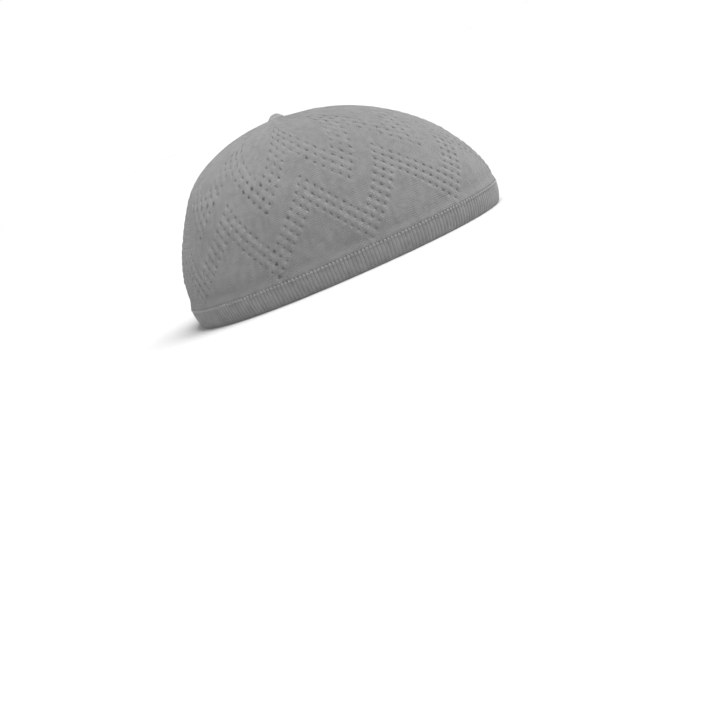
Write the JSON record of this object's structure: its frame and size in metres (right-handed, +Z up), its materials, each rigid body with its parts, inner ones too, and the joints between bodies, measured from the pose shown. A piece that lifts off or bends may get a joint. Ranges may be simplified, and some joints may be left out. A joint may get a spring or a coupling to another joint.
{
  "type": "knitted skull cap",
  "caption": "Close-fitting knitted skull cap (chechia or kufi) with zigzag openwork, a ribbed hem band and a small gathered knot on top; it stands on its rim.",
  "frame": {"origin": "on the surface that the cap stands on, in the middle of the ground that it covers", "axes": "+Z up through the crown, the front of the cap faces -Y, and the wearer's left side is +X"},
  "size_m": [0.1624, 0.201, 0.1001],
  "materials": {
    "fine_knit": "matte fine cotton knit, mid grey",
    "ribbed_knit": "matte ribbed cotton knit, mid grey",
    "gathered_knit": "matte gathered cotton knit, mid grey"
  },
  "bodies": {
    "root": {"crown": "fine_knit", "rim_band": "ribbed_knit", "top_knot": "gathered_knit"}
  },
  "joints": []
}
